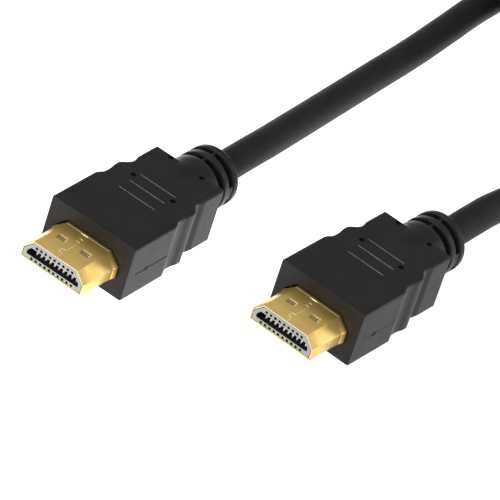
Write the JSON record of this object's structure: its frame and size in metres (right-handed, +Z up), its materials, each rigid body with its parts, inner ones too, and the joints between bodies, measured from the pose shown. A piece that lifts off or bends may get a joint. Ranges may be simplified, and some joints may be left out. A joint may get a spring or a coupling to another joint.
{
  "type": "hdmi cable",
  "caption": "Round black video cable with a flat gold-plated multi-pin plug on each end, two plugs side by side and the spare length in a tied hank.",
  "frame": {"origin": "bottom centre of the box round the two plugs, on the floor that they lie on", "axes": "+Y along the plugs from the mating tips towards the cable, +Z up, +X from the first plug to the second"},
  "size_m": [0.0574, 0.2928, 0.0193],
  "materials": {
    "gold_plating": "polished gold plating",
    "contact_gold": "gold-plated contact strip",
    "pale_plastic": "satin light grey",
    "black_moulding": "satin black flexible moulding",
    "black_jacket": "satin black extruded jacket"
  },
  "bodies": {
    "root": {"first_shell": "gold_plating", "first_insert": "pale_plastic", "first_lower_contact_1": "contact_gold", "first_lower_contact_2": "contact_gold", "first_lower_contact_3": "contact_gold", "first_lower_contact_4": "contact_gold", "first_lower_contact_5": "contact_gold", "first_lower_contact_6": "contact_gold", "first_lower_contact_7": "contact_gold", "first_lower_contact_8": "contact_gold", "first_lower_contact_9": "contact_gold", "first_lower_contact_10": "contact_gold", "first_upper_contact_1": "contact_gold", "first_upper_contact_2": "contact_gold", "first_upper_contact_3": "contact_gold", "first_upper_contact_4": "contact_gold", "first_upper_contact_5": "contact_gold", "first_upper_contact_6": "contact_gold", "first_upper_contact_7": "contact_gold", "first_upper_contact_8": "contact_gold", "first_upper_contact_9": "contact_gold", "first_grip": "black_moulding", "second_shell": "gold_plating", "second_insert": "pale_plastic", "second_lower_contact_1": "contact_gold", "second_lower_contact_2": "contact_gold", "second_lower_contact_3": "contact_gold", "second_lower_contact_4": "contact_gold", "second_lower_contact_5": "contact_gold", "second_lower_contact_6": "contact_gold", "second_lower_contact_7": "contact_gold", "second_lower_contact_8": "contact_gold", "second_lower_contact_9": "contact_gold", "second_lower_contact_10": "contact_gold", "second_upper_contact_1": "contact_gold", "second_upper_contact_2": "contact_gold", "second_upper_contact_3": "contact_gold", "second_upper_contact_4": "contact_gold", "second_upper_contact_5": "contact_gold", "second_upper_contact_6": "contact_gold", "second_upper_contact_7": "contact_gold", "second_upper_contact_8": "contact_gold", "second_upper_contact_9": "contact_gold", "second_grip": "black_moulding", "cable_from_first_plug": "black_jacket", "cable_from_second_plug": "black_jacket", "cable_hank": "black_jacket", "hank_tie": "black_jacket"}
  },
  "joints": []
}
